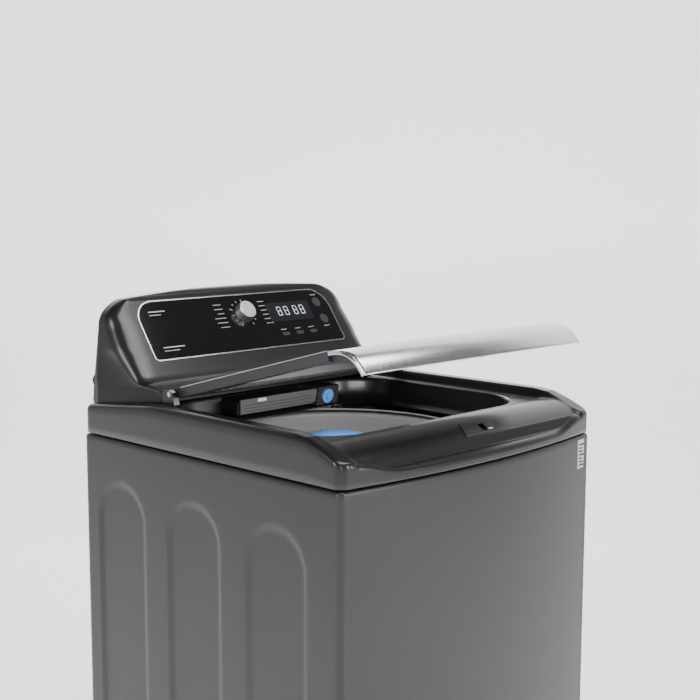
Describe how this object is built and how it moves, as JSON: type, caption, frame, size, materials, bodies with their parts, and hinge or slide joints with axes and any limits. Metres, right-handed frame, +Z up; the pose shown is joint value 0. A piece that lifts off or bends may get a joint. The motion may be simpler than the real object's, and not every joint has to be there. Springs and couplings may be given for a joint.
{
  "type": "top load washing machine",
  "caption": "Top-loading washing machine with a tilting glass lid on a rear console, a dark steel cabinet, and a sprung tub with perforated basket and agitator.",
  "frame": {"origin": "centre of the outer box in plan, on the floor under the feet", "axes": "+Z up, -Y to the front where the lid's handle is, +X to the user's right when facing the machine"},
  "size_m": [0.686, 0.7209, 1.13],
  "materials": {
    "cabinet_paint": "dark satin metallic paint",
    "zinc_steel": "zinc-coated sheet",
    "cover_plastic": "dark metallic satin plastic",
    "black_plastic": "fine grain",
    "gloss_black": "piano gloss",
    "silver_trim": "satin silver plating",
    "display_glass": "smoked gloss",
    "lid_glass": "smoked tempered glass with fine lines",
    "key_plastic": "gloss",
    "blue_plastic": "satin blue",
    "grey_plastic": "satin grey",
    "tub_plastic": "moulded",
    "ring_plastic": "moulded dark grey",
    "agitator_plastic": "moulded light grey",
    "drum_steel": "perforated stainless",
    "cast_alloy": "die cast",
    "rubber": "matt",
    "shaft_steel": "ground",
    "winding": "enamelled copper on steel",
    "board": "printed board",
    "white_plastic": "moulded"
  },
  "bodies": {
    "cabinet": {"cabinet_shell": "cabinet_paint", "rear_panel": "zinc_steel", "base_frame": "zinc_steel", "levelling_feet": "rubber", "corner_braces": "zinc_steel", "suspension_rods": "zinc_steel", "drain_spigot": "black_plastic", "cord_gland": "rubber", "inlet_valve": "white_plastic", "inlet_connectors": "grey_plastic", "top_cover": "cover_plastic", "lock_plate": "black_plastic", "lid_lock_housing": "black_plastic", "hinge_brackets": "cover_plastic", "hinge_pins": "shaft_steel", "lid_dampers": "black_plastic", "dispenser_housing": "grey_plastic", "nozzle_housing": "black_plastic", "spray_nozzle": "blue_plastic", "console_housing": "cover_plastic", "console_fascia": "gloss_black", "fascia_trim": "silver_trim", "display_window": "display_glass", "control_board": "board", "console_rear_cover": "black_plastic", "rear_screws": "zinc_steel"},
    "lid": {"lid_frame": "cover_plastic", "lid_glass": "lid_glass", "lid_handle": "silver_trim", "handle_end_caps": "silver_trim", "lid_bumpers": "rubber", "lid_striker": "black_plastic"},
    "drawer": {"detergent_drawer": "grey_plastic", "drawer_front": "grey_plastic"},
    "dial": {"cycle_dial": "silver_trim"},
    "power_key": {"power_button": "key_plastic"},
    "start_key": {"start_button": "key_plastic"},
    "option_key_1": {"option_button_1": "key_plastic"},
    "option_key_2": {"option_button_2": "key_plastic"},
    "option_key_3": {"option_button_3": "key_plastic"},
    "bolt": {"lock_bolt": "zinc_steel"},
    "tub": {"outer_tub": "tub_plastic", "spring_cups": "black_plastic", "tub_cover_ring": "ring_plastic", "bearing_housing": "cast_alloy", "bearings": "shaft_steel", "tub_seal": "rubber", "stator": "winding", "drain_pump": "white_plastic", "suspension_springs": "zinc_steel"},
    "basket": {"drum": "drum_steel", "balance_ring": "ring_plastic", "drum_hub": "cast_alloy", "spin_tube": "shaft_steel"},
    "drive": {"agitator": "agitator_plastic", "agitator_cap": "blue_plastic", "drive_shaft": "shaft_steel", "rotor": "zinc_steel"},
    "clutch": {"clutch_slider": "shaft_steel"},
    "impeller": {"pump_impeller": "black_plastic"}
  },
  "joints": [
    {"name": "lid_hinge", "type": "hinge", "parent": "cabinet", "child": "lid", "pos_m": [0, 0.1325, 0.96], "axis": [-1, 0, 0], "range_deg": [-17.6, 82.5]},
    {"name": "drawer_slide", "type": "slide", "parent": "cabinet", "child": "drawer", "axis": [0, -1, 0], "range_m": [0, 0.1]},
    {"name": "dial_turn", "type": "hinge", "parent": "cabinet", "child": "dial", "pos_m": [0.006, 0.28727, 1.07367], "axis": [0, -0.809, 0.5878], "continuous": true},
    {"name": "power_key_press", "type": "slide", "parent": "cabinet", "child": "power_key", "axis": [0, 0.809, -0.5878], "range_m": [0, 0.0012], "stiffness_N_per_m": 400, "springref_m": -0.002},
    {"name": "start_key_press", "type": "slide", "parent": "cabinet", "child": "start_key", "axis": [0, 0.809, -0.5878], "range_m": [0, 0.0012], "stiffness_N_per_m": 400, "springref_m": -0.002},
    {"name": "option_key_1_press", "type": "slide", "parent": "cabinet", "child": "option_key_1", "axis": [0, 0.809, -0.5878], "range_m": [0, 0.0012], "stiffness_N_per_m": 400, "springref_m": -0.002},
    {"name": "option_key_2_press", "type": "slide", "parent": "cabinet", "child": "option_key_2", "axis": [0, 0.809, -0.5878], "range_m": [0, 0.0012], "stiffness_N_per_m": 400, "springref_m": -0.002},
    {"name": "option_key_3_press", "type": "slide", "parent": "cabinet", "child": "option_key_3", "axis": [0, 0.809, -0.5878], "range_m": [0, 0.0012], "stiffness_N_per_m": 400, "springref_m": -0.002},
    {"name": "bolt_slide", "type": "slide", "parent": "cabinet", "child": "bolt", "axis": [-1, 0, 0], "range_m": [0, 0.02]},
    {"name": "tub_bounce", "type": "slide", "parent": "cabinet", "child": "tub", "axis": [0, 0, 1], "range_m": [-0.025, 0.01], "stiffness_N_per_m": 12000, "springref_m": 0.03565, "deforming": ["suspension_springs"]},
    {"name": "basket_spin", "type": "hinge", "parent": "tub", "child": "basket", "pos_m": [0, 0.0145, 0.5], "axis": [0, 0, 1], "continuous": true},
    {"name": "drive_spin", "type": "hinge", "parent": "tub", "child": "drive", "pos_m": [0, 0.0145, 0.3], "axis": [0, 0, 1], "continuous": true},
    {"name": "clutch_slide", "type": "slide", "parent": "basket", "child": "clutch", "axis": [0, 0, 1], "range_m": [-0.01, 0]},
    {"name": "impeller_spin", "type": "hinge", "parent": "tub", "child": "impeller", "pos_m": [-0.15, -0.1355, 0.12], "axis": [0, 0, 1], "continuous": true}
  ]
}
